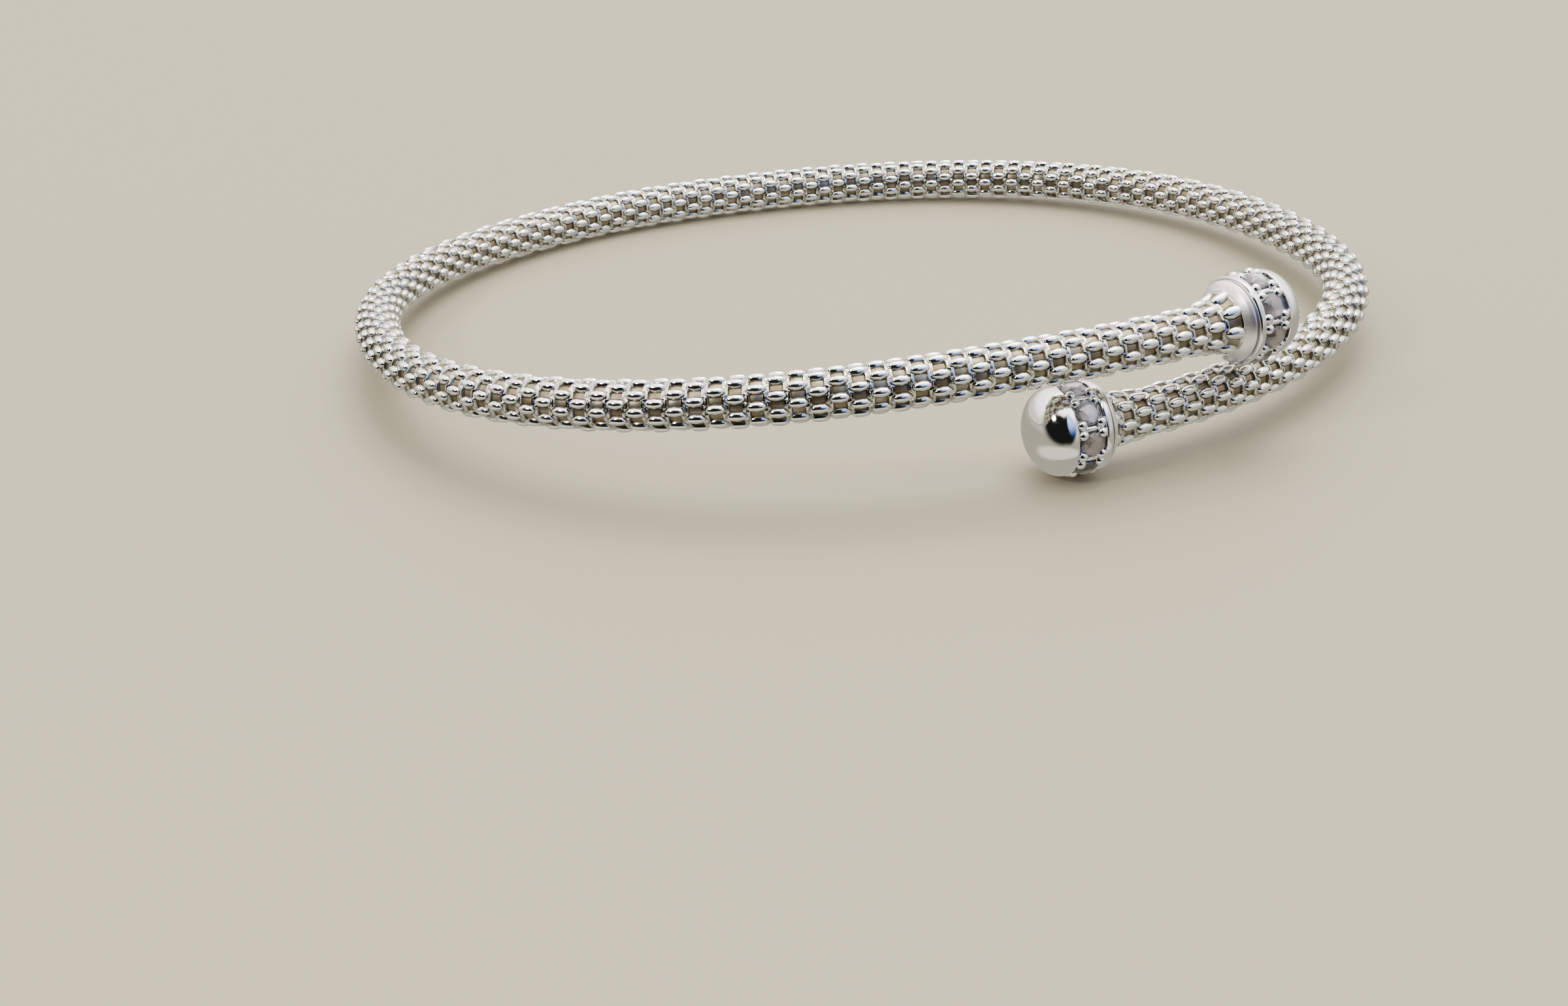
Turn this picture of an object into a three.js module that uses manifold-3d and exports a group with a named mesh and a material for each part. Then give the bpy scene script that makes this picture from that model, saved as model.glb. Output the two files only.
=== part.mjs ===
// An open wrap-over cuff bracelet: a hollow tube of mesh bent into an oval ring, whose two
// ends pass one above the other, each closed by a cast cap with a band of small round stones.
// Millimetres, +Z up, lying on its side. The origin is under the middle, on the surface it rests on.

import * as THREE from 'three';
import Module from 'manifold-3d';
import { mergeVertices } from 'three/addons/utils/BufferGeometryUtils.js';

const wasm = await Module();
wasm.setup();

// ---- driving dimensions ----------------------------------------------------------------

// The ring's centreline in plan: an oval, a little squarer than an ellipse, that opens out
// slightly from its lower end to its upper end. Bearings turn anticlockwise from +X.
const OVAL_HALF_LENGTH = 31.4;
const OVAL_HALF_WIDTH = 27.2;
const OVAL_POWER = 2.2;
const OVAL_TURN = 15;
const SPIRAL_GROWTH = 0.0156; // share of the radius gained in each half turn
const SPIRAL_MIDDLE = 130; // bearing where the oval has its nominal size

const LOWER_LIP_BEARING = -63.4;
const UPPER_LIP_BEARING = 311.3;
const UPPER_STRAIGHT_FROM = 309.8; // the tube runs straight from here into its upper cap

// The mesh tube.
const SLEEVE_RADIUS = 1.5;
const SLEEVE_BORE_RADIUS = 1.05;
const SLEEVE_SIDES = 20;
const SLEEVE_BORE_SIDES = 10;
const SLEEVE_STEPS = 84;
const FLARE_RADIUS = 1.8; // the tube swells over its last stretch, into each cap
const FLARE_LENGTH = 1.8;

// An end cap, measured along its own axis from its lip, where the mesh goes in, to its dome.
const CAP_SEGMENTS = 27;
const SOCKET_RADIUS = 1.9;
const SOCKET_DEPTH = 0.7;
const SLEEVE_IN_SOCKET = 0.58;
const LIP_RADIUS = 2.0;
const SHOULDER_RADIUS = 2.36;
const SHOULDER_END = 0.5;
const GROOVE_RADIUS = 2.18;
const RIDGE_RADIUS = 2.55;
const RIDGE_START = 0.68;
const RIDGE_END = 1.02;
const BAND_RADIUS = 2.34;
const BAND_END = 2.66;
const DOME_RADIUS = 2.52;
const DOME_START = 2.76;
const DOME_DEPTH = 1.87;

// The centreline's height above the surface: the tube lies flat along the back, arches a little
// before its lower end, which stands on its cap, and rises so that the upper end passes over it.
const FLAT_FROM = 85;
const FLAT_TO = 135;
const LOWER_LEVEL_FROM = -15;
const UPPER_LEVEL_FROM = 300;
const LOWER_ARCH = 0.4;
const LOWER_ARCH_BEARING = -20;
const LOWER_ARCH_REACH = 55;
const ENDS_GAP = 0.65; // between the lower cap and the tube that passes over it
const LOWER_CAP_RAISE = 0.1; // room under the ridge ring for the beads, which stand out further
const LOWER_END_HEIGHT = RIDGE_RADIUS + LOWER_CAP_RAISE;
const UPPER_END_HEIGHT = LOWER_END_HEIGHT + RIDGE_RADIUS + ENDS_GAP + SLEEVE_RADIUS;

// The stones and the beads that hold them.
const STONE_COUNT = 8;
const STONE_RADIUS = 0.64;
const STONE_TABLE_RADIUS = 0.38;
const STONE_CROWN = 0.18;
const STONE_GIRDLE = 0.06;
const STONE_PAVILION = 0.4;
const STONE_SEAT_HEIGHT = 2.4; // from the cap's axis to the underside of the girdle
const STONE_FACETS = 10;
const SEAT_CLEARANCE = 0.1;
const SEAT_SIDES = 12;
const SEAT_FLOOR = 1.9; // from the cap's axis to the bottom of a seat
const BAND_MIDDLE = 1.84;
const BEAD_RADIUS = 0.22;
const BEAD_HEIGHT = 2.5; // from the cap's axis to a bead's centre
const BEAD_ROW_OFFSET = 0.6; // from the band's middle to each row of beads
const BEAD_PAIR_ANGLE = 13;
const LOWER_STONES_TURN = -4.5; // degrees round the cap's axis
const UPPER_STONES_TURN = 22;

// ---- materials -------------------------------------------------------------------------

function silver(color, roughness) {
  return new THREE.MeshStandardMaterial({ color, roughness, metalness: 1 });
}

const meshSilver = silver(0xe4e2dd, 0.22);
const castSilver = silver(0xdfdfe0, 0.1);
const stoneGlass = new THREE.MeshStandardMaterial({
  color: 0xb9b4c0, roughness: 0.05, metalness: 0, transparent: true, opacity: 0.6,
});

// ---- the centreline --------------------------------------------------------------------

// From 0 to 1 as a bearing goes from one to another, level at both.
function eased(bearing, from, to) {
  const t = THREE.MathUtils.clamp((bearing - from) / (to - from), 0, 1);
  return t * t * (3 - 2 * t);
}

function heightAt(bearing) {
  const lowerRise = (LOWER_END_HEIGHT - SLEEVE_RADIUS)
    * eased(bearing, FLAT_FROM, LOWER_LEVEL_FROM);
  const upperRise = (UPPER_END_HEIGHT - SLEEVE_RADIUS) * eased(bearing, FLAT_TO, UPPER_LEVEL_FROM);
  const fromArch = Math.min(Math.abs(bearing - LOWER_ARCH_BEARING) / LOWER_ARCH_REACH, 1);
  return SLEEVE_RADIUS + lowerRise + upperRise + LOWER_ARCH * (1 - fromArch ** 2) ** 2;
}

function ovalAt(bearing) {
  const angle = THREE.MathUtils.degToRad(bearing);
  const turned = THREE.MathUtils.degToRad(bearing - OVAL_TURN);
  const along = Math.abs(Math.cos(turned) / OVAL_HALF_LENGTH) ** OVAL_POWER;
  const across = Math.abs(Math.sin(turned) / OVAL_HALF_WIDTH) ** OVAL_POWER;
  const growth = 1 + SPIRAL_GROWTH * (bearing - SPIRAL_MIDDLE) / 180;
  const radius = growth * (along + across) ** (-1 / OVAL_POWER);
  return new THREE.Vector3(radius * Math.cos(angle), radius * Math.sin(angle), heightAt(bearing));
}

function centrelineAt(bearing) {
  if (bearing <= UPPER_STRAIGHT_FROM) return ovalAt(bearing);
  const end = ovalAt(UPPER_STRAIGHT_FROM);
  const perDegree = end.clone().sub(ovalAt(UPPER_STRAIGHT_FROM - 0.1)).multiplyScalar(10);
  return end.addScaledVector(perDegree, bearing - UPPER_STRAIGHT_FROM);
}

function directionAt(bearing) {
  const step = 0.05;
  return centrelineAt(bearing + step).sub(centrelineAt(bearing - step)).normalize();
}

// How many degrees of bearing a short length along the tube covers.
function bearingSpan(bearing, length) {
  const perDegree = centrelineAt(bearing + 0.5).distanceTo(centrelineAt(bearing - 0.5));
  return length / perDegree;
}

class Centreline extends THREE.Curve {
  constructor(start, end) {
    super();
    this.start = start;
    this.end = end;
  }

  getPoint(t, target = new THREE.Vector3()) {
    return target.copy(centrelineAt(THREE.MathUtils.lerp(this.start, this.end, t)));
  }
}

// A cap's own frame: its origin on the centreline at the lip, +Z out of the end of the tube.
function capPlacement(lipBearing, outward) {
  const axis = directionAt(lipBearing).multiplyScalar(outward);
  const turn = new THREE.Quaternion().setFromUnitVectors(new THREE.Vector3(0, 0, 1), axis);
  return new THREE.Matrix4().compose(
    centrelineAt(lipBearing), turn, new THREE.Vector3(1, 1, 1));
}

// ---- solids ----------------------------------------------------------------------------

function toManifold(geometry) {
  const bare = geometry.clone();
  bare.deleteAttribute('normal');
  bare.deleteAttribute('uv');
  const merged = mergeVertices(bare, 1e-5);
  return new wasm.Manifold(new wasm.Mesh({
    numProp: 3,
    vertProperties: new Float32Array(merged.attributes.position.array),
    triVerts: new Uint32Array(merged.index.array),
  }));
}

function toGeometry(manifold) {
  const { vertProperties, triVerts } = manifold.getMesh();
  const geometry = new THREE.BufferGeometry();
  geometry.setAttribute('position', new THREE.BufferAttribute(new Float32Array(vertProperties), 3));
  geometry.setIndex(new THREE.BufferAttribute(new Uint32Array(triVerts), 1));
  const flat = geometry.toNonIndexed();
  flat.computeVertexNormals();
  return flat;
}

// The swelling at one end of the tube, in the cap's own frame.
function flareGeometry() {
  const profile = [
    new THREE.Vector2(SLEEVE_BORE_RADIUS, SLEEVE_IN_SOCKET),
    new THREE.Vector2(SLEEVE_BORE_RADIUS, -FLARE_LENGTH),
    new THREE.Vector2(SLEEVE_RADIUS - 0.05, -FLARE_LENGTH),
    new THREE.Vector2((SLEEVE_RADIUS + FLARE_RADIUS) / 2, -FLARE_LENGTH / 2),
    new THREE.Vector2(FLARE_RADIUS, 0),
    new THREE.Vector2(FLARE_RADIUS, SLEEVE_IN_SOCKET),
    new THREE.Vector2(SLEEVE_BORE_RADIUS, SLEEVE_IN_SOCKET),
  ];
  return new THREE.LatheGeometry(profile, SLEEVE_SIDES).rotateX(Math.PI / 2);
}

// The mesh tube: a ring section carried along the centreline, its ends open and swollen.
function sleeveGeometry() {
  const section = new THREE.Shape();
  section.absarc(0, 0, SLEEVE_RADIUS, 0, 2 * Math.PI);
  const bore = new THREE.Path();
  bore.absarc(0, 0, SLEEVE_BORE_RADIUS, 0, 2 * Math.PI);
  const ring = new THREE.Shape(section.getSpacedPoints(SLEEVE_SIDES));
  ring.holes.push(new THREE.Path(bore.getSpacedPoints(SLEEVE_BORE_SIDES)));
  const start = LOWER_LIP_BEARING - bearingSpan(LOWER_LIP_BEARING, SLEEVE_IN_SOCKET);
  const end = UPPER_LIP_BEARING + bearingSpan(UPPER_LIP_BEARING, SLEEVE_IN_SOCKET);
  const tube = new THREE.ExtrudeGeometry(ring, {
    steps: SLEEVE_STEPS,
    extrudePath: new Centreline(start, end),
    bevelEnabled: false,
  });
  const lowerFlare = flareGeometry().applyMatrix4(capPlacement(LOWER_LIP_BEARING, -1));
  const upperFlare = flareGeometry().applyMatrix4(capPlacement(UPPER_LIP_BEARING, 1));
  return toGeometry(toManifold(tube).add(toManifold(lowerFlare)).add(toManifold(upperFlare)));
}

// A quarter of an ellipse as profile points (radius, place along the axis).
function quarterRound(fromRadius, fromPlace, toRadius, toPlace, points, swellsFirst) {
  const profile = [];
  for (let i = 1; i <= points; i += 1) {
    const turn = (i / points) * Math.PI / 2;
    const rise = swellsFirst ? Math.sin(turn) : 1 - Math.cos(turn);
    const run = swellsFirst ? 1 - Math.cos(turn) : Math.sin(turn);
    profile.push(new THREE.Vector2(
      THREE.MathUtils.lerp(fromRadius, toRadius, rise),
      THREE.MathUtils.lerp(fromPlace, toPlace, run),
    ));
  }
  return profile;
}

// The cap's turned body, from the floor of its socket round the lip to the tip of its dome.
function capBody() {
  const profile = [
    new THREE.Vector2(0, SOCKET_DEPTH),
    new THREE.Vector2(SOCKET_RADIUS, SOCKET_DEPTH),
    new THREE.Vector2(SOCKET_RADIUS, 0),
    new THREE.Vector2(LIP_RADIUS, 0),
    ...quarterRound(LIP_RADIUS, 0, SHOULDER_RADIUS, SHOULDER_END, 5, true),
    new THREE.Vector2(GROOVE_RADIUS, SHOULDER_END + 0.02),
    new THREE.Vector2(GROOVE_RADIUS, RIDGE_START),
    new THREE.Vector2(RIDGE_RADIUS - 0.12, RIDGE_START + 0.03),
    new THREE.Vector2(RIDGE_RADIUS, (RIDGE_START + RIDGE_END) / 2),
    new THREE.Vector2(RIDGE_RADIUS - 0.12, RIDGE_END - 0.03),
    new THREE.Vector2(BAND_RADIUS, RIDGE_END),
    new THREE.Vector2(BAND_RADIUS, BAND_END),
    new THREE.Vector2(GROOVE_RADIUS, BAND_END + 0.03),
    new THREE.Vector2(GROOVE_RADIUS, DOME_START - 0.05),
    new THREE.Vector2(DOME_RADIUS - 0.06, DOME_START),
    new THREE.Vector2(DOME_RADIUS, DOME_START + 0.1),
    ...quarterRound(DOME_RADIUS, DOME_START + 0.1, 0, DOME_START + DOME_DEPTH, 7, false),
  ];
  const body = new THREE.LatheGeometry(profile, CAP_SEGMENTS);
  return toManifold(body.rotateX(Math.PI / 2));
}

// Carries a shape that stands on the cap's axis out to the band at one angle round it.
function onBand(geometry, height, place, angle) {
  const turn = THREE.MathUtils.degToRad(angle);
  return geometry
    .rotateZ(-Math.PI / 2)
    .translate(height, 0, place)
    .rotateZ(turn);
}

function stoneAngles() {
  return Array.from({ length: STONE_COUNT }, (_, i) => (i + 0.5) * 360 / STONE_COUNT);
}

// A round stone standing on +Y: a flat table, a bevelled crown, a thin girdle and a point.
function stoneGeometry() {
  const profile = [
    new THREE.Vector2(0, -STONE_PAVILION),
    new THREE.Vector2(STONE_RADIUS, 0),
    new THREE.Vector2(STONE_RADIUS, STONE_GIRDLE),
    new THREE.Vector2(STONE_TABLE_RADIUS, STONE_GIRDLE + STONE_CROWN),
    new THREE.Vector2(0, STONE_GIRDLE + STONE_CROWN),
  ];
  return new THREE.LatheGeometry(profile, STONE_FACETS);
}

function seatGeometry() {
  const depth = BAND_RADIUS + 0.5 - SEAT_FLOOR;
  const seat = new THREE.CylinderGeometry(
    STONE_RADIUS + SEAT_CLEARANCE, STONE_RADIUS + SEAT_CLEARANCE, depth, SEAT_SIDES);
  return seat.translate(0, depth / 2, 0);
}

function capGeometry() {
  let cap = capBody();
  for (const angle of stoneAngles()) {
    cap = cap.subtract(toManifold(onBand(seatGeometry(), SEAT_FLOOR, BAND_MIDDLE, angle)));
  }
  const gap = 360 / STONE_COUNT;
  for (const angle of stoneAngles()) {
    for (const row of [-1, 1]) {
      for (const side of [-1, 1]) {
        const bead = new THREE.SphereGeometry(BEAD_RADIUS, 6, 4);
        const place = BAND_MIDDLE + row * BEAD_ROW_OFFSET;
        const beadAngle = angle + gap / 2 + side * BEAD_PAIR_ANGLE / 2;
        cap = cap.add(toManifold(onBand(bead, BEAD_HEIGHT, place, beadAngle)));
      }
    }
  }
  return toGeometry(cap);
}

// ---- assembly --------------------------------------------------------------------------

function named(name, geometry, material) {
  const mesh = new THREE.Mesh(geometry, material);
  mesh.name = name;
  return mesh;
}

// One cap and its stones in a group at the end of the tube, turned about the cap's axis.
function endCap(which, lipBearing, outward, stonesTurn) {
  const group = new THREE.Group();
  group.add(named(`cap_${which}`, capGeometry(), castSilver));
  stoneAngles().forEach((angle, i) => {
    const stone = onBand(stoneGeometry(), STONE_SEAT_HEIGHT, BAND_MIDDLE, angle);
    group.add(named(`stone_${which}_${i + 1}`, stone, stoneGlass));
  });
  group.applyMatrix4(capPlacement(lipBearing, outward));
  group.rotateZ(THREE.MathUtils.degToRad(stonesTurn));
  return group;
}

const bracelet = new THREE.Group();
bracelet.add(named('mesh_sleeve', sleeveGeometry(), meshSilver));
bracelet.add(endCap('lower', LOWER_LIP_BEARING, -1, LOWER_STONES_TURN));
bracelet.add(endCap('upper', UPPER_LIP_BEARING, 1, UPPER_STONES_TURN));

// The origin goes under the middle of the bracelet, level with its lowest point.
bracelet.updateMatrixWorld(true);
const extent = new THREE.Box3().setFromObject(bracelet, true);
const middle = extent.getCenter(new THREE.Vector3());
bracelet.position.set(-middle.x, -middle.y, -extent.min.z);

export default bracelet;
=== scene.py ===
"""The finish of an open wrap-over cuff bracelet: a tube of pressed silver mesh with a cast cap on
each end, every cap carrying a band of small round clear stones. Lengths are in millimetres here
and become metres when a piece is made."""

import math

import bmesh
import bpy
import numpy as np
from mathutils import Matrix, Vector


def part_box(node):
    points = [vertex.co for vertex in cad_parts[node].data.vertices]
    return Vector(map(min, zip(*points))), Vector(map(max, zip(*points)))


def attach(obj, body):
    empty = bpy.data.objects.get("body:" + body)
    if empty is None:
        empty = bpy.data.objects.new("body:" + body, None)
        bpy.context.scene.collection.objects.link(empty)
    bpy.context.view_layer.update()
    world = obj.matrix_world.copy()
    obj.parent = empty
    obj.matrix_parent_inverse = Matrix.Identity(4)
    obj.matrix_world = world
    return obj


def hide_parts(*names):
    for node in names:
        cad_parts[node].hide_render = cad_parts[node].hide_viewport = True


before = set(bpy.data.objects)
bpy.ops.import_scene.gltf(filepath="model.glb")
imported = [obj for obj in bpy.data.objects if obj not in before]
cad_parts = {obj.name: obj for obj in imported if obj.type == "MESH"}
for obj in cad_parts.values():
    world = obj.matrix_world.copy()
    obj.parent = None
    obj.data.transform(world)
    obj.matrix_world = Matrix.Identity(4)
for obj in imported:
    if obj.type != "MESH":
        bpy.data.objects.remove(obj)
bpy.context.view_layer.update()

MM = 0.001

# ---- the run of the tube -------------------------------------------------------------------

OVAL_HALF_LENGTH = 31.4
OVAL_HALF_WIDTH = 27.2
OVAL_POWER = 2.2
OVAL_TURN = 15.0
SPIRAL_GROWTH = 0.0156
SPIRAL_MIDDLE = 130.0
LOWER_LIP_BEARING = -63.4
UPPER_LIP_BEARING = 311.3
UPPER_STRAIGHT_FROM = 309.8
TUBE_RADIUS = 1.5
FLAT_FROM = 85.0           # the tube lies flat along the back between these two bearings
FLAT_TO = 135.0
LOWER_LEVEL_FROM = -15.0
UPPER_LEVEL_FROM = 300.0
LOWER_ARCH = 0.4           # the tube arches a little before it comes down to the lower cap
LOWER_ARCH_BEARING = -20.0
LOWER_ARCH_REACH = 55.0
ENDS_GAP = 0.65            # between the lower cap and the tube that passes over it
WIDEST_CAP_RADIUS = 2.55
LOWER_CAP_RAISE = 0.1      # room under its widest ring, for what stands out further
LOWER_END_HEIGHT = WIDEST_CAP_RADIUS + LOWER_CAP_RAISE
UPPER_END_HEIGHT = LOWER_END_HEIGHT + WIDEST_CAP_RADIUS + ENDS_GAP + TUBE_RADIUS

# ---- the pressed mesh ----------------------------------------------------------------------

BUMP_TOP_RADIUS = 1.485
RING_PITCH = 1.07
BUMPS_ROUND = 8
CELL_ANGLE = 22.5          # half of the girth that a bump and the window beside it take up
FIRST_BUMP_ANGLE = 71.1    # where the rows of bumps start, from the outward side
ROW_TWIST = 0.582          # degrees that each ring of bumps creeps round the tube
RING_ZERO_PLACE = 170.1    # run of the tube from RUN_START_BEARING to ring 0
RUN_START_BEARING = -75.0
RUN_END_BEARING = 320.0
RUN_STEP = 0.2
IN_SOCKET = 0.5            # how far the mesh goes on past each cap's lip
FLARE_LENGTH = 2.4
FLARE_RISE = 0.4
FLARE_CURVE = 1.7          # 1 would swell evenly; more leaves it to the end
FRAME_DROP_AT_LIP = 0.3    # share of the frame's drop that is left inside the cap
BUMP_FADE = (-0.5, 0.1)    # from each lip, where the bumps are gone and where they are full
WINDOW_FADE = (-0.1, 0.3)

# Grid lines in half cells. A bump is a round-ended pillow whose foot is sunk a little in the
# frame; a window is a pit beside it.
LINES_ALONG = (-1.0, -0.88, -0.7, -0.56, 0.0, 0.56, 0.7, 0.88, 1.0)
LINES_ACROSS = (-1.0, -0.9, -0.66, -0.34, 0.0, 0.34, 0.66, 0.9, 1.0)
BUMP_FOOT_LINE = 0.9
BUMP_FOOT_ANGLE = 74.0     # how steep a bump's side is at its foot
BUMP_BULGE = 0.15          # a bump's cell is this much of a cell wider, each side, at its middle
BUMP_REACH = 1.0           # half the length of a bump
BUMP_FILL = 0.97           # share of its cell that a bump's foot fills
BUMP_HEIGHT = 0.28
BUMP_ROUNDNESS = 2.3       # 2 would make an ellipse of its outline and of its back
FRAME_DROP = 0.21          # under the bump tops
WINDOW_END = 0.7           # the top of the wall at a window's end
WINDOW_FLOOR = 0.56
WINDOW_DEPTH = 0.35        # under the bump tops, at the ends of a window's floor
WINDOW_CROWN = 0.05        # how much the middle of the floor stands up

# ---- the caps, measured along their own axis from the lip -----------------------------------

SOCKET_RADIUS = 1.72
SOCKET_DEPTH = 0.7
LIP_RADIUS = 1.82
SHOULDER_RADIUS = 2.36
SHOULDER_END = 0.48
GROOVE_RADIUS = 2.24
RIDGE_RADIUS = 2.53
RIDGE_START = 0.6
RIDGE_END = 1.04
CHANNEL_RADIUS = 2.27
BAND_END = 2.66
DOME_RADIUS = 2.52
DOME_START = 2.76
DOME_DEPTH = 1.87
DOME_RIM = 0.1             # straight edge under the dome's curve
DOME_STEPS = 14
CAP_SEGMENTS = 96
RECESS_MARGIN = 0.08       # above the channel's floor, still in its shade

STONE_COUNT = 8
STONE_RADIUS = 0.74
TABLE_RADIUS = 0.37
STONE_SEAT_HEIGHT = 2.33
STONE_GIRDLE = 0.05
STONE_CROWN = 0.27
STONE_PAVILION = 0.4
STONE_SIDES = 8
BAND_MIDDLE = 1.84
BEAD_RADIUS = 0.31
BEAD_HEIGHT = 2.36
BEAD_ROW_OFFSET = 0.58
BEAD_PAIR_ANGLE = 14.0
BEAD_SEGMENTS = 14
BEAD_RINGS = 10
SPACER_RADII = (0.2, 0.2, 0.62)
SPACER_HEIGHT = 2.26
LOWER_STONES_TURN = -4.5
UPPER_STONES_TURN = 22.0


def eased(bearing, start, end):
    """From 0 to 1 as a bearing goes from one to another, level at both."""
    t = min(max((bearing - start) / (end - start), 0.0), 1.0)
    return t * t * (3 - 2 * t)


def height_at(bearing):
    lower_rise = (LOWER_END_HEIGHT - TUBE_RADIUS) * eased(bearing, FLAT_FROM, LOWER_LEVEL_FROM)
    upper_rise = (UPPER_END_HEIGHT - TUBE_RADIUS) * eased(bearing, FLAT_TO, UPPER_LEVEL_FROM)
    from_arch = min(abs(bearing - LOWER_ARCH_BEARING) / LOWER_ARCH_REACH, 1.0)
    return TUBE_RADIUS + lower_rise + upper_rise + LOWER_ARCH * (1 - from_arch ** 2) ** 2


def oval_at(bearing):
    angle = math.radians(bearing)
    turned = math.radians(bearing - OVAL_TURN)
    along = abs(math.cos(turned) / OVAL_HALF_LENGTH) ** OVAL_POWER
    across = abs(math.sin(turned) / OVAL_HALF_WIDTH) ** OVAL_POWER
    growth = 1 + SPIRAL_GROWTH * (bearing - SPIRAL_MIDDLE) / 180
    radius = growth * (along + across) ** (-1 / OVAL_POWER)
    return Vector((radius * math.cos(angle), radius * math.sin(angle), height_at(bearing)))


def centreline_at(bearing):
    if bearing <= UPPER_STRAIGHT_FROM:
        return oval_at(bearing)
    end = oval_at(UPPER_STRAIGHT_FROM)
    per_degree = (end - oval_at(UPPER_STRAIGHT_FROM - 0.1)) * 10
    return end + per_degree * (bearing - UPPER_STRAIGHT_FROM)


def direction_at(bearing):
    step = 0.05
    return (centreline_at(bearing + step) - centreline_at(bearing - step)).normalized()


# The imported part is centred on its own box, so the run is moved to the middle of the CAD sleeve.
run_bearings = np.arange(RUN_START_BEARING, RUN_END_BEARING, RUN_STEP)
run_points = np.array([centreline_at(b) for b in run_bearings])
on_tube = (run_bearings > LOWER_LIP_BEARING) & (run_bearings < UPPER_LIP_BEARING)
sleeve_low, sleeve_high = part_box("mesh_sleeve")
sleeve_middle = np.array((sleeve_low + sleeve_high) / (2 * MM))
run_middle = (run_points[on_tube].min(0) + run_points[on_tube].max(0)) / 2
CENTRING = Vector((sleeve_middle[0] - run_middle[0], sleeve_middle[1] - run_middle[1], 0))
run_points += np.array(CENTRING)
run_places = np.concatenate(
    ([0.0], np.cumsum(np.linalg.norm(np.diff(run_points, axis=0), axis=1))))
run_directions = np.gradient(run_points, run_places, axis=0)
run_directions /= np.linalg.norm(run_directions, axis=1)[:, None]
LOWER_LIP_PLACE = float(np.interp(LOWER_LIP_BEARING, run_bearings, run_places))
UPPER_LIP_PLACE = float(np.interp(UPPER_LIP_BEARING, run_bearings, run_places))


def along_run(table, places):
    return np.stack([np.interp(places, run_places, table[:, i]) for i in range(3)], axis=1)


# ---- nodes as plain expressions --------------------------------------------------------------

class Value:
    """A socket that takes part in arithmetic: 1 - mask adds the Math node that says so."""

    def __init__(self, finish, socket):
        self.finish = finish
        self.socket = socket

    def _maths(self, operation, first, second):
        return self.finish.node("ShaderNodeMath", {"operation": operation}, (first, second))

    def __add__(self, other):
        return self._maths("ADD", self, other)

    def __radd__(self, other):
        return self._maths("ADD", other, self)

    def __sub__(self, other):
        return self._maths("SUBTRACT", self, other)

    def __rsub__(self, other):
        return self._maths("SUBTRACT", other, self)

    def __mul__(self, other):
        return self._maths("MULTIPLY", self, other)

    def __rmul__(self, other):
        return self._maths("MULTIPLY", other, self)

    def between(self, low, high):
        """0 below low, 1 above high, smooth between."""
        return self.finish.node(
            "ShaderNodeMapRange", {"interpolation_type": "SMOOTHSTEP"},
            {"Value": self, "From Min": low, "From Max": high})


class Finish:
    """The nodes of one material, or of the studio's surroundings."""

    def __init__(self, owner):
        self.tree = owner.node_tree

    def node(self, kind, settings=None, inputs=(), output=0):
        made = self.tree.nodes.new(kind)
        for key, value in (settings or {}).items():
            setattr(made, key, value)
        pairs = inputs.items() if isinstance(inputs, dict) else enumerate(inputs)
        for key, value in pairs:
            if isinstance(value, Value):
                self.tree.links.new(value.socket, made.inputs[key])
            else:
                made.inputs[key].default_value = value
        return Value(self, made.outputs[output])

    def mix(self, amount, first, second):
        """A colour between two colours."""
        return self.node("ShaderNodeMix", {"data_type": "RGBA"},
                         {0: amount, 6: first, 7: second}, output=2)

    def noise(self, scale, detail=3.0, roughness=0.55, vector=None):
        place = vector or self.node("ShaderNodeTexCoord", output=3)
        return self.node("ShaderNodeTexNoise", {},
                         {"Vector": place, "Scale": scale, "Detail": detail,
                          "Roughness": roughness})


def new_material(name):
    material = bpy.data.materials.new(name)
    material.use_nodes = True
    return material, Finish(material), material.node_tree.nodes["Principled BSDF"]


def feed(finish, shader, **links):
    names = {"colour": "Base Color", "roughness": "Roughness", "normal": "Normal"}
    for key, value in links.items():
        finish.tree.links.new(value.socket, shader.inputs[names[key]])


def mesh_silver_finish():
    """Bright pressed silver with painted shade: greyer down between the bumps, and a painted brown
    shade and warm reflection on the window floors, which are also rougher.
    """
    material, finish, shader = new_material("mesh_silver")
    recess = finish.node("ShaderNodeAttribute", {"attribute_name": "recess"}, output=2)
    blotches = finish.noise(900.0)
    # Painted shade and warm reflection: the window floors are mixed towards brown, a little
    # patchy, and made rougher.
    window_shade_and_reflection = recess.between(0.66, 0.86) * (0.7 + 0.3 * blotches.between(0.3, 0.6))
    bright = finish.mix(finish.noise(260.0), (0.90, 0.89, 0.865, 1), (0.96, 0.955, 0.935, 1))
    # Painted shade: the silver turns greyer the deeper it lies under the bump tops.
    shaded_silver = finish.mix(recess.between(0.3, 0.62), bright, (0.60, 0.59, 0.54, 1))
    shader.inputs["Metallic"].default_value = 1.0
    ripple = finish.noise(2600.0, detail=4.0)
    bump = finish.node("ShaderNodeBump", {}, {"Strength": 0.12, "Distance": 0.00006,
                                              "Height": ripple})
    feed(finish, shader,
         colour=finish.mix(window_shade_and_reflection, shaded_silver, (0.22, 0.175, 0.11, 1)),
         roughness=0.09 + 0.34 * window_shade_and_reflection + 0.05 * blotches,
         normal=bump)
    return material


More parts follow.
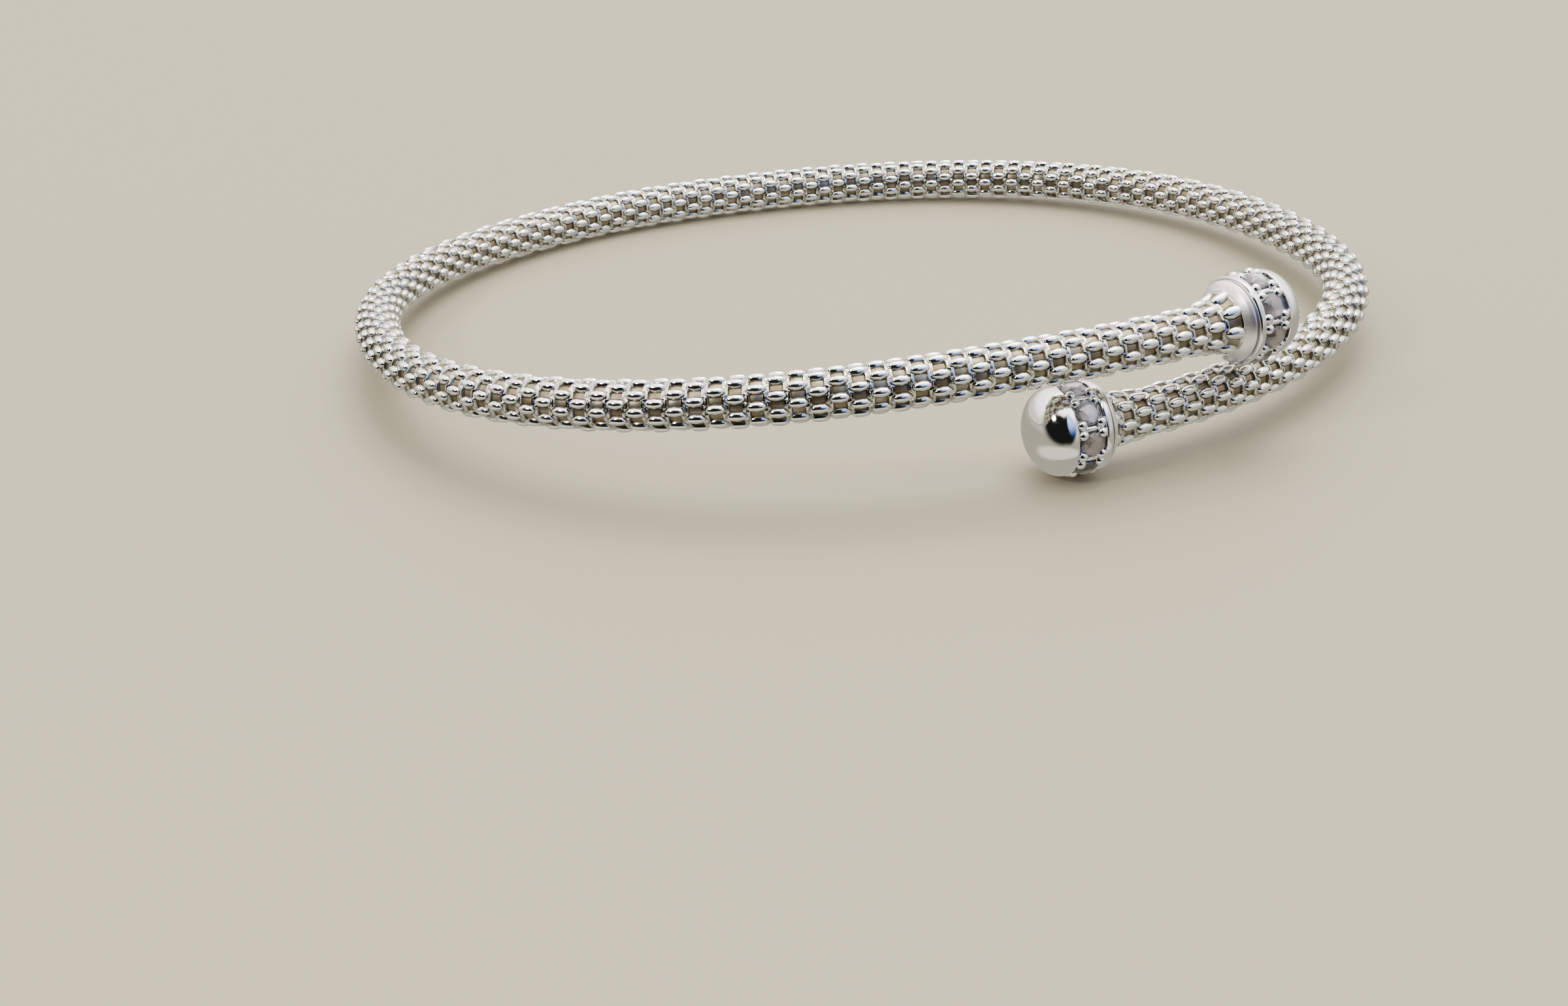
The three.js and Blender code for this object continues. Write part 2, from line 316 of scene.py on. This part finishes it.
def cast_silver_finish():
    """Polished cast silver with the fine scratches of wear, a satin shoulder, and painted shade
    darkening the channel round the stones.
    """
    material, finish, shader = new_material("cast_silver")
    place = finish.node("ShaderNodeTexCoord", output=3)
    stretched = finish.node("ShaderNodeMapping", {}, {"Vector": place, "Scale": (1.0, 1.0, 7.0)})
    scratches = finish.noise(1500.0, detail=5.0, roughness=0.7, vector=stretched)
    clouds = finish.noise(420.0)
    recess = finish.node("ShaderNodeAttribute", {"attribute_name": "recess"}, output=2)
    satin = finish.node("ShaderNodeAttribute", {"attribute_name": "satin"}, output=2)
    shader.inputs["Metallic"].default_value = 1.0
    bump = finish.node("ShaderNodeBump", {}, {"Strength": 0.05, "Distance": 0.00005,
                                              "Height": scratches})
    bright = finish.mix(clouds, (0.88, 0.87, 0.84, 1), (0.95, 0.945, 0.93, 1))
    feed(finish, shader,
         # Painted shade: the channel round the stones is mixed towards dark grey and made rougher.
         colour=finish.mix(0.75 * recess, bright, (0.26, 0.25, 0.25, 1)),
         roughness=0.035 + 0.05 * scratches.between(0.45, 0.75) + 0.03 * clouds + 0.25 * recess
         + 0.3 * satin,
         normal=bump)
    return material


def clear_stone_finish():
    """Clear, faintly grey-violet stone."""
    material, finish, shader = new_material("clear_stone")
    shader.inputs["Transmission Weight"].default_value = 1.0
    shader.inputs["IOR"].default_value = 1.9
    haze = finish.noise(1400.0)
    feed(finish, shader,
         colour=finish.mix(haze, (0.72, 0.70, 0.80, 1), (0.87, 0.85, 0.93, 1)),
         roughness=0.01 + 0.03 * haze)
    return material


# ---- making pieces ---------------------------------------------------------------------------

def object_from(name, mesh, material, replaced):
    mesh.materials.append(material)
    piece = bpy.data.objects.new(name, mesh)
    bpy.context.collection.objects.link(piece)
    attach(piece, "root")
    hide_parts(*replaced)
    return piece


def mesh_from(shape, name, sharp_angle, recalculate=True):
    """Turns a bmesh in millimetres into a smooth mesh in metres with crisp edges kept."""
    if recalculate:
        bmesh.ops.recalc_face_normals(shape, faces=shape.faces)
    for face in shape.faces:
        face.smooth = True
    bmesh.ops.scale(shape, vec=(MM, MM, MM), verts=shape.verts)
    mesh = bpy.data.meshes.new(name)
    shape.to_mesh(mesh)
    shape.free()
    mesh.set_sharp_from_angle(angle=math.radians(sharp_angle))
    return mesh


# One tile of the mesh is a bump and the window beside it. In the flat it is laid out in rings
# along and cells across; the tiles of the next ring sit one cell further round.

def bump_point(along, line):
    """Place across the cell and height against the bump's top, of one grid point of a bump."""
    edge = 0.5 + BUMP_BULGE * math.cos(along * math.pi / 2)
    if abs(line) == 1.0:
        return line * edge, -FRAME_DROP if abs(along) >= WINDOW_END else -WINDOW_DEPTH
    fullness = (1 - abs(along / BUMP_REACH) ** BUMP_ROUNDNESS) ** (1 / BUMP_ROUNDNESS)
    steepest = math.radians(BUMP_FOOT_ANGLE)
    lean = line / BUMP_FOOT_LINE * steepest
    rise = (math.cos(lean) - math.cos(steepest)) / (1 - math.cos(steepest))
    return (BUMP_FILL * edge * fullness * math.sin(lean) / math.sin(steepest),
            BUMP_HEIGHT * (fullness * rise - 1))


def window_point(along, line):
    if abs(along) == 1.0:
        return bump_point(along, line)
    edge = 0.5 - BUMP_BULGE * math.cos(along * math.pi / 2)
    if abs(along) >= WINDOW_END:
        return line * edge, -FRAME_DROP
    crown = WINDOW_CROWN * (1 - (along / WINDOW_FLOOR) ** 2) if abs(line) < 1.0 else 0.0
    return line * edge, crown - WINDOW_DEPTH


def ring_of_tiles():
    """The tiles round one ring, in the flat: x in rings, y in cells, z in millimetres."""
    ring = bmesh.new()
    columns = len(LINES_ALONG) - 1
    rows = len(LINES_ACROSS) - 1
    for cell in range(2 * BUMPS_ROUND):
        point = (bump_point, window_point)[cell % 2]
        made = bmesh.ops.create_grid(ring, x_segments=columns, y_segments=rows, size=1.0)
        for vertex in made["verts"]:
            along = LINES_ALONG[round((vertex.co.x + 1) / 2 * columns)]
            line = LINES_ACROSS[round((vertex.co.y + 1) / 2 * rows)]
            across, height = point(along, line)
            vertex.co = (along / 2, cell + across, height)
    bmesh.ops.remove_doubles(ring, verts=ring.verts, dist=1e-5)
    mesh = bpy.data.meshes.new("ring")
    ring.to_mesh(mesh)
    ring.free()
    return mesh


def faded(distance, limits):
    return np.clip((distance - limits[0]) / (limits[1] - limits[0]), 0, 1)


def bent_round_run(points):
    """Wraps flat tile points (ring, cell, height) round the tube, swelling into the caps."""
    rings, cells, heights = points.T
    places = RING_ZERO_PLACE + rings * RING_PITCH
    to_lip = np.minimum(places - LOWER_LIP_PLACE, UPPER_LIP_PLACE - places)
    flare = FLARE_RISE * np.clip(1 - to_lip / FLARE_LENGTH, 0, 1) ** FLARE_CURVE
    over_frame = np.maximum(heights + FRAME_DROP, 0) * faded(to_lip, BUMP_FADE)
    under_frame = np.minimum(heights + FRAME_DROP, 0) * faded(to_lip, WINDOW_FADE)
    frame_drop = FRAME_DROP * (
        FRAME_DROP_AT_LIP + (1 - FRAME_DROP_AT_LIP) * faded(to_lip, WINDOW_FADE))
    radii = BUMP_TOP_RADIUS - frame_drop + over_frame + under_frame + flare
    angles = np.radians(FIRST_BUMP_ANGLE + cells * CELL_ANGLE + rings * ROW_TWIST)
    forward = along_run(run_directions, places)
    forward /= np.linalg.norm(forward, axis=1)[:, None]
    up = np.array((0.0, 0.0, 1.0)) - forward * forward[:, 2:3]
    up /= np.linalg.norm(up, axis=1)[:, None]
    outward = np.cross(forward, up)
    spokes = outward * np.cos(angles)[:, None] + up * np.sin(angles)[:, None]
    recess = -heights / WINDOW_DEPTH
    return along_run(run_points, places) + spokes * radii[:, None], recess


def mesh_stretch(name, ring_mesh, first_ring, last_ring, material):
    """One stretch of the tube, from the start of first_ring to the end of last_ring."""
    shape = bmesh.new()
    for ring in range(first_ring, last_ring + 1):
        shape.from_mesh(ring_mesh)
        shape.verts.ensure_lookup_table()
        bmesh.ops.translate(shape, vec=(ring, ring, 0),
                            verts=shape.verts[-len(ring_mesh.vertices):])
    start = (LOWER_LIP_PLACE - IN_SOCKET - RING_ZERO_PLACE) / RING_PITCH
    end = (UPPER_LIP_PLACE + IN_SOCKET - RING_ZERO_PLACE) / RING_PITCH
    for place, outward in ((start, -1), (end, 1)):
        if first_ring - 0.5 < place < last_ring + 0.5:
            bmesh.ops.bisect_plane(
                shape, geom=shape.verts[:] + shape.edges[:] + shape.faces[:],
                plane_co=(place, 0, 0), plane_no=(outward, 0, 0), clear_outer=True)
    flat = np.array([v.co[:] for v in shape.verts])
    bent, recess = bent_round_run(flat)
    layer = shape.verts.layers.float.new("recess")
    for vertex, place, depth in zip(shape.verts, bent, recess):
        vertex.co = place
        vertex[layer] = depth
    bmesh.ops.remove_doubles(shape, verts=shape.verts, dist=1e-3)
    bmesh.ops.holes_fill(shape, edges=[e for e in shape.edges if e.is_boundary], sides=0)
    mesh = mesh_from(shape, name, sharp_angle=45, recalculate=False)
    return object_from(name, mesh, material, ["mesh_sleeve"])


def cap_placement(lip_bearing, outward, turn):
    axis = direction_at(lip_bearing) * outward
    face = Vector((0, 0, 1)).rotation_difference(axis).to_matrix().to_4x4()
    twist = Matrix.Rotation(math.radians(turn), 4, "Z")
    return Matrix.Translation(centreline_at(lip_bearing) + CENTRING) @ face @ twist


def rounded(corners, steps=4):
    """A profile with each inner corner (radius, place, rounding) turned into a short curve."""
    points = [corners[0][:2]]
    for before, corner, after in zip(corners, corners[1:], corners[2:]):
        here = Vector(corner[:2])
        back = Vector(before[:2]) - here
        on = Vector(after[:2]) - here
        cut = min(corner[2], back.length * 0.49, on.length * 0.49)
        if cut <= 0:
            points.append(tuple(here))
            continue
        start = here + back.normalized() * cut
        end = here + on.normalized() * cut
        for k in range(steps + 1):
            t = k / steps
            points.append(tuple(start * (1 - t) ** 2 + here * (2 * t * (1 - t)) + end * t ** 2))
    points.append(corners[-1][:2])
    return points


def dome_points():
    points = []
    for k in range(1, DOME_STEPS + 1):
        turn = k / DOME_STEPS * math.pi / 2
        points.append((DOME_RADIUS * math.cos(turn),
                       DOME_START + DOME_RIM + (DOME_DEPTH - DOME_RIM) * math.sin(turn)))
    return points


def cap_profile():
    """From the floor of the socket, round the lip and over the band, to the tip of the dome."""
    corners = [  # radius, place along the axis, rounding
        (0, SOCKET_DEPTH, 0), (SOCKET_RADIUS, SOCKET_DEPTH, 0),
        (SOCKET_RADIUS, 0, 0.02), (LIP_RADIUS, 0, 0.03),
        (SHOULDER_RADIUS - 0.16, SHOULDER_END * 0.5, 0.25),
        (SHOULDER_RADIUS, SHOULDER_END - 0.02, 0.12),
        (GROOVE_RADIUS, SHOULDER_END + 0.02, 0.03), (GROOVE_RADIUS, RIDGE_START, 0.03),
        (RIDGE_RADIUS, RIDGE_START + 0.02, 0.14), (RIDGE_RADIUS, RIDGE_END, 0.14),
        (CHANNEL_RADIUS, RIDGE_END, 0.03), (CHANNEL_RADIUS, BAND_END, 0.03),
        (CHANNEL_RADIUS, DOME_START - 0.04, 0.02), (DOME_RADIUS, DOME_START - 0.02, 0.1),
        (DOME_RADIUS, DOME_START + DOME_RIM, 0),
    ]
    return rounded(corners) + dome_points()


def spun(profile, segments):
    """A closed turned body about +Z from (radius, place) points."""
    shape = bmesh.new()
    verts = [shape.verts.new((radius, 0, place)) for radius, place in profile]
    edges = [shape.edges.new(pair) for pair in zip(verts, verts[1:])]
    bmesh.ops.spin(shape, geom=verts + edges, cent=(0, 0, 0), axis=(0, 0, 1),
                   angle=2 * math.pi, steps=segments, use_merge=True)
    bmesh.ops.remove_doubles(shape, verts=shape.verts, dist=1e-4)
    return shape


def on_band(height, place, angle):
    """Stands a shape's +Z on the cap's axis, out at one angle round the band."""
    turn = Matrix.Rotation(math.radians(angle), 4, "Z")
    lean = Matrix.Rotation(math.radians(90), 4, "Y")
    return turn @ Matrix.Translation((height, 0, place)) @ lean


def stone_angles():
    return [(i + 0.5) * 360 / STONE_COUNT for i in range(STONE_COUNT)]


def cap_body(name, placement, material):
    """The turned cap with two pairs of beads and a bar between each two stones."""
    shape = spun(cap_profile(), CAP_SEGMENTS)
    for angle in stone_angles():
        gap_angle = angle + 180 / STONE_COUNT
        for row in (-1, 1):
            for side in (-1, 1):
                bmesh.ops.create_uvsphere(
                    shape, u_segments=BEAD_SEGMENTS, v_segments=BEAD_RINGS, radius=BEAD_RADIUS,
                    matrix=on_band(BEAD_HEIGHT, BAND_MIDDLE + row * BEAD_ROW_OFFSET,
                                   gap_angle + side * BEAD_PAIR_ANGLE / 2))
        turn = Matrix.Rotation(math.radians(gap_angle), 4, "Z")
        bmesh.ops.create_uvsphere(
            shape, u_segments=BEAD_SEGMENTS, v_segments=BEAD_RINGS, radius=1.0,
            matrix=turn @ Matrix.Translation((SPACER_HEIGHT, 0, BAND_MIDDLE))
            @ Matrix.Diagonal((*SPACER_RADII, 1)))
    # The recess attribute marks the channel round the stones, where the cast silver gets painted
    # shade.
    layer = shape.verts.layers.float.new("recess")
    satin = shape.verts.layers.float.new("satin")
    for vertex in shape.verts:
        sunk = vertex.co.xy.length < CHANNEL_RADIUS + RECESS_MARGIN
        vertex[layer] = float(sunk and SHOULDER_END < vertex.co.z < DOME_START)
        vertex[satin] = float(vertex.co.z < SHOULDER_END)
    bmesh.ops.transform(shape, matrix=placement, verts=shape.verts)
    mesh = mesh_from(shape, name, sharp_angle=40)
    node = name.replace("_body", "")
    return object_from(name, mesh, material, [node])


def cut_stone():
    """A round brilliant standing on +Z: table, crown facets, girdle and pointed pavilion."""
    shape = bmesh.new()
    levels = (  # radius, height, turn as a share of one side
        (TABLE_RADIUS, STONE_GIRDLE + STONE_CROWN, 0.0),
        (STONE_RADIUS * 0.86, STONE_GIRDLE + STONE_CROWN * 0.45, 0.5),
        (STONE_RADIUS, STONE_GIRDLE, 0.0),
        (STONE_RADIUS, 0.0, 0.0),
        (STONE_RADIUS * 0.5, -STONE_PAVILION * 0.52, 0.5),
    )
    for radius, height, turn in levels:
        count = STONE_SIDES if turn or height > STONE_GIRDLE else STONE_SIDES * 2
        bmesh.ops.create_circle(
            shape, segments=count, radius=radius,
            matrix=Matrix.Translation((0, 0, height))
            @ Matrix.Rotation(turn * 2 * math.pi / STONE_SIDES, 4, "Z"))
    shape.verts.new((0, 0, -STONE_PAVILION))
    bmesh.ops.convex_hull(shape, input=shape.verts)
    bmesh.ops.delete(shape, geom=[e for e in shape.edges if not e.link_faces], context="EDGES")
    return shape


def stone_row(name, placement, material, nodes):
    single = cut_stone()
    stone_mesh = bpy.data.meshes.new("stone")
    single.to_mesh(stone_mesh)
    single.free()
    shape = bmesh.new()
    for angle in stone_angles():
        shape.from_mesh(stone_mesh)
        shape.verts.ensure_lookup_table()
        bmesh.ops.transform(shape, matrix=on_band(STONE_SEAT_HEIGHT, BAND_MIDDLE, angle),
                            verts=shape.verts[-len(stone_mesh.vertices):])
    bpy.data.meshes.remove(stone_mesh)
    bmesh.ops.transform(shape, matrix=placement, verts=shape.verts)
    mesh = mesh_from(shape, name, sharp_angle=3)
    return object_from(name, mesh, material, nodes)


# ---- the bracelet ----------------------------------------------------------------------------

mesh_silver = mesh_silver_finish()
cast_silver = cast_silver_finish()
clear_stone = clear_stone_finish()

first = math.floor((LOWER_LIP_PLACE - IN_SOCKET - RING_ZERO_PLACE) / RING_PITCH + 0.5)
last = math.ceil((UPPER_LIP_PLACE + IN_SOCKET - RING_ZERO_PLACE) / RING_PITCH - 0.5)
stretch_names = ("mesh_right_bend", "mesh_back", "mesh_left_bend", "mesh_front")
starts = np.linspace(first, last + 1, len(stretch_names) + 1).round().astype(int)
ring_mesh = ring_of_tiles()
for stretch_name, start, end in zip(stretch_names, starts, starts[1:]):
    mesh_stretch(stretch_name, ring_mesh, int(start), int(end) - 1, mesh_silver)
bpy.data.meshes.remove(ring_mesh)

for which, lip, outward, turn in (("lower", LOWER_LIP_BEARING, -1, LOWER_STONES_TURN),
                                  ("upper", UPPER_LIP_BEARING, 1, UPPER_STONES_TURN)):
    placement = cap_placement(lip, outward, turn)
    cap_body(f"cap_{which}_body", placement, cast_silver)
    stone_row(f"stones_{which}", placement, clear_stone,
              [f"stone_{which}_{i + 1}" for i in range(STONE_COUNT)])

# ---- the studio ------------------------------------------------------------------------------

FLOOR_HALF_WIDTH = 3000
floor_shape = bmesh.new()
bmesh.ops.create_grid(floor_shape, x_segments=1, y_segments=1, size=FLOOR_HALF_WIDTH)
floor_mesh = mesh_from(floor_shape, "floor", sharp_angle=30)
floor_material, floor_finish, floor_shader = new_material("floor")
floor_shader.inputs["Base Color"].default_value = (0.30, 0.26, 0.175, 1)
floor_shader.inputs["Roughness"].default_value = 0.6
floor_mesh.materials.append(floor_material)
floor = bpy.data.objects.new("floor", floor_mesh)
bpy.context.collection.objects.link(floor)
floor.visible_glossy = False

# The surroundings are a plain studio seen by direction: warm white all round and overhead, a
# darker side towards the front, and a patch of blue daylight high at the front right.
world = bpy.data.worlds.new("studio")
world.use_nodes = True
bpy.context.scene.world = world
studio = Finish(world)
background = world.node_tree.nodes["Background"]
direction = studio.node("ShaderNodeTexCoord", output=0)
parts = world.node_tree.nodes.new("ShaderNodeSeparateXYZ")
world.node_tree.links.new(direction.socket, parts.inputs[0])
across = Value(studio, parts.outputs["X"])
depth = Value(studio, parts.outputs["Y"])
height = Value(studio, parts.outputs["Z"])
bearing = studio.node("ShaderNodeMath", {"operation": "ARCTAN2"}, (across, 0 - depth))
elevation = studio.node("ShaderNodeMath", {"operation": "ARCSINE"}, (height,))


def patch(middle_azimuth, middle_elevation, half_width, half_height):
    """A soft-edged oval patch of the surroundings, in degrees from the front and from level."""
    out = (bearing - math.radians(middle_azimuth)) * (1 / math.radians(half_width))
    rise = (elevation - math.radians(middle_elevation)) * (1 / math.radians(half_height))
    return 1 - (out * out + rise * rise).between(0.6, 1.3)


DARK_ROOM = (0.012, 0.012, 0.012, 1)
around = studio.mix(elevation.between(-0.2, 0.1), (0.50, 0.47, 0.38, 1), (1.0, 0.95, 0.84, 1))
behind = depth.between(-0.3, 0.3) * elevation.between(0.05, 0.45)
sky = studio.mix(behind, around, (2.7, 2.6, 2.4, 1))
sky = studio.mix(elevation.between(0.5, 0.95), sky, (3.6, 3.5, 3.3, 1))
sky = studio.mix(patch(-25, -38, 85, 16), sky, (1.1, 1.05, 0.88, 1))
sky = studio.mix(patch(-28, 19, 62, 38), sky, DARK_ROOM)
sky = studio.mix(patch(8, 22, 32, 38), sky, DARK_ROOM)
window_light = studio.mix(elevation.between(0.1, 0.85), (0.02, 0.05, 0.2, 1), (0.9, 1.35, 2.6, 1))
sky = studio.mix(patch(25, 34, 20, 30), sky, window_light)
world.node_tree.links.new(sky.socket, background.inputs["Color"])
background.inputs["Strength"].default_value = 1.0


def lamp(name, azimuth, elevation_degrees, distance, size, power, colour):
    """A round soft light, placed by its direction from the bracelet and aimed at it."""
    a = math.radians(azimuth)
    e = math.radians(elevation_degrees)
    toward = Vector((math.sin(a) * math.cos(e), -math.cos(a) * math.cos(e), math.sin(e)))
    data = bpy.data.lights.new(name, "AREA")
    data.shape = "DISK"
    data.size = size
    data.energy = power
    data.color = colour
    made = bpy.data.objects.new(name, data)
    made.location = toward * distance
    made.rotation_euler = toward.to_track_quat("Z", "Y").to_euler()
    bpy.context.collection.objects.link(made)


lamp("key_light", -56, 36, 0.6, 0.11, 1.6, (1.0, 0.97, 0.92))
lamp("overhead_light", 150, 70, 0.7, 0.55, 5.0, (1.0, 0.98, 0.95))

CAMERA_PLACE = Vector((-5.5, -134.4, 49.9))
CAMERA_DIP = 25.0          # how far below level it looks, along +Y
CAMERA_ROLL = -2.05
CAMERA_LENS = 49.5
camera_data = bpy.data.cameras.new("camera")
camera_data.lens = CAMERA_LENS
camera_data.sensor_width = 36.0
camera_data.clip_start = 0.005
camera = bpy.data.objects.new("camera", camera_data)
camera.matrix_world = (
    Matrix.Translation(CAMERA_PLACE * MM)
    @ Matrix.Rotation(math.radians(90 - CAMERA_DIP), 4, "X")
    @ Matrix.Rotation(math.radians(CAMERA_ROLL), 4, "Z"))
bpy.context.collection.objects.link(camera)
bpy.context.scene.camera = camera
